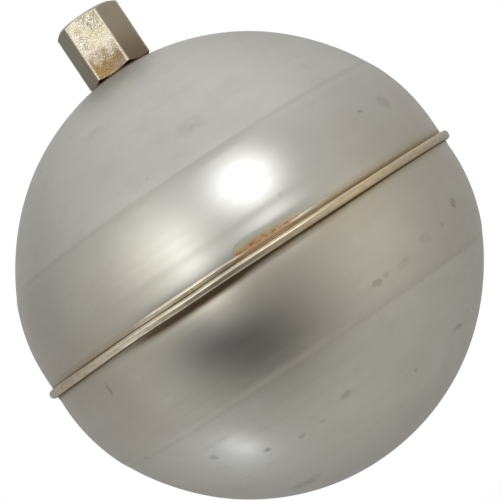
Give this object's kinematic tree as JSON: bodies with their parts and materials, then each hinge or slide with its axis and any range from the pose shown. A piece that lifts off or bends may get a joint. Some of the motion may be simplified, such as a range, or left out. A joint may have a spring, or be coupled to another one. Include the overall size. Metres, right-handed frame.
{
  "type": "float ball",
  "caption": "Hollow round float with a rolled seam round its equator and a hexagonal spud, threaded inside, that screws onto a float rod.",
  "frame": {"origin": "centre of the spud's outer end face, where the float rod enters; the centre of the ball is 97.6 mm below it", "axes": "+Z along the spud's axis, out of the ball; +X and +Y across it, with a flat of the hexagon facing +Y and another facing -Y"},
  "size_m": [0.1552, 0.1552, 0.1738],
  "materials": {
    "shell_steel": "drawn stainless steel sheet, satin, with a shinier band each side of the seam",
    "spud_steel": "machined hexagon bar, heat tinted straw and bronze by brazing",
    "filler_metal": "copper brazing filler, dull",
    "inner_steel": "plain, scaled by the furnace"
  },
  "bodies": {
    "root": {"upper_shell": "shell_steel", "lower_shell": "shell_steel", "seam_braze": "filler_metal", "hex_spud": "spud_steel", "spud_braze": "filler_metal", "backing_washer": "inner_steel"}
  },
  "joints": []
}
